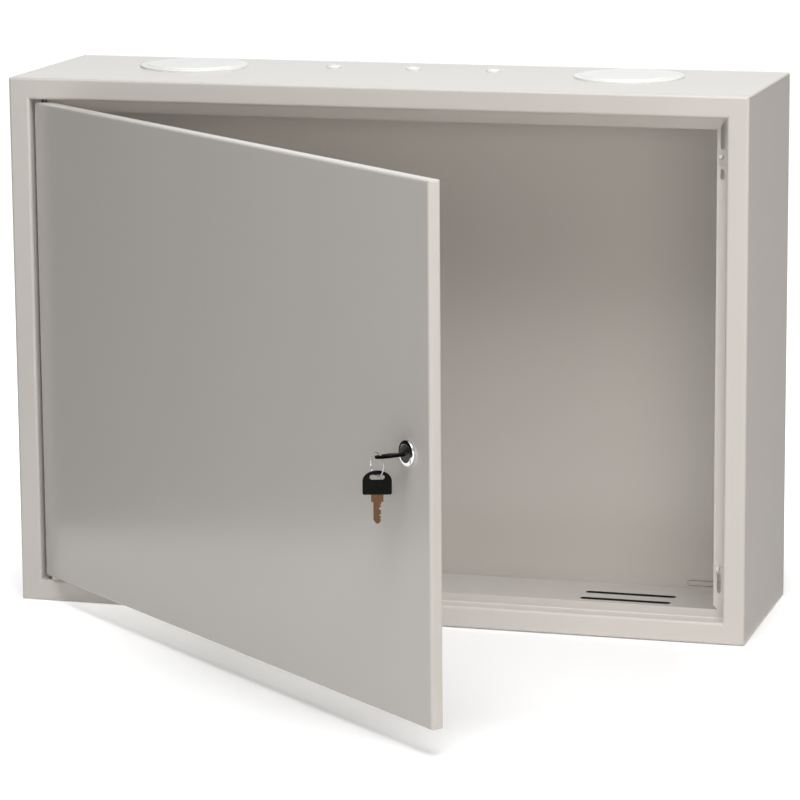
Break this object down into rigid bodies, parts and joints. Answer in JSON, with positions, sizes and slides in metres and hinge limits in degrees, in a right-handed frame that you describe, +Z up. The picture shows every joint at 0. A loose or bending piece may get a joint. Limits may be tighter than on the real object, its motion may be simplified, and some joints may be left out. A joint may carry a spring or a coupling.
{
  "type": "steel wall enclosure",
  "caption": "Shallow sheet-steel wall cabinet with a flush hinged door, a cam lock with keys, round blanking plugs on top and vent slots in the floor.",
  "frame": {"origin": "middle of the back face of the case, the centre of the four wall fixing holes", "axes": "+X right seen from the front, +Y straight back into the wall, +Z up"},
  "size_m": [0.7, 0.6134, 0.5025],
  "materials": {
    "powder_coat": "light grey semi-gloss powder coat",
    "white_plastic": "smooth moulded",
    "buffer_rubber": "soft, light grey",
    "zinc_steel": "bright zinc plate",
    "black_steel": "black oxide",
    "lock_chrome": "polished chrome plate",
    "plug_metal": "satin nickel",
    "key_brass": "worn, satin",
    "bow_plastic": "black, smooth",
    "ring_steel": "nickel-plated wire",
    "nylon": "natural nylon"
  },
  "bodies": {
    "case": {"top_panel": "powder_coat", "bottom_panel": "powder_coat", "left_side": "powder_coat", "right_side": "powder_coat", "back_panel": "powder_coat", "large_plug_left": "white_plastic", "large_plug_right": "white_plastic", "small_plug_left": "white_plastic", "small_plug_middle": "white_plastic", "small_plug_right": "white_plastic", "buffer_upper": "buffer_rubber", "buffer_lower": "buffer_rubber", "pivot_pin_lower": "black_steel", "pivot_washer": "nylon"},
    "door": {"door_panel": "powder_coat", "hinge_block_lower": "zinc_steel", "hinge_block_upper": "zinc_steel", "pivot_pin_upper": "black_steel", "grub_screw": "black_steel", "lock_body": "lock_chrome", "lock_washer": "zinc_steel", "lock_nut": "zinc_steel"},
    "plug": {"lock_plug": "plug_metal", "lock_cam": "zinc_steel", "cam_washer": "zinc_steel", "cam_screw": "zinc_steel"},
    "key": {"key_blade": "key_brass", "key_bow": "bow_plastic"},
    "ring": {"key_ring": "ring_steel"},
    "spare_key": {"spare_blade": "key_brass", "spare_bow": "bow_plastic"}
  },
  "joints": [
    {"name": "door_hinge", "type": "hinge", "parent": "case", "child": "door", "pos_m": [-0.317, -0.189, 0], "axis": [0, 0, 1], "range_deg": [-70, 40]},
    {"name": "lock_turn", "type": "hinge", "parent": "door", "child": "plug", "pos_m": [0.14796, -0.58698, 0], "axis": [-0.6428, -0.766, 0], "range_deg": [-10, 80]},
    {"name": "key_pull", "type": "slide", "parent": "plug", "child": "key", "axis": [-0.6428, -0.766, 0], "range_m": [0, 0.03]},
    {"name": "ring_swing", "type": "hinge", "parent": "key", "child": "ring", "pos_m": [0.12553, -0.60014, -0.00154], "axis": [-0.6428, -0.766, 0], "range_deg": [-10, 10]},
    {"name": "spare_swing", "type": "hinge", "parent": "ring", "child": "spare_key", "pos_m": [0.12553, -0.60014, -0.01704], "axis": [0.766, -0.6428, 0], "range_deg": [-25, 25]}
  ]
}
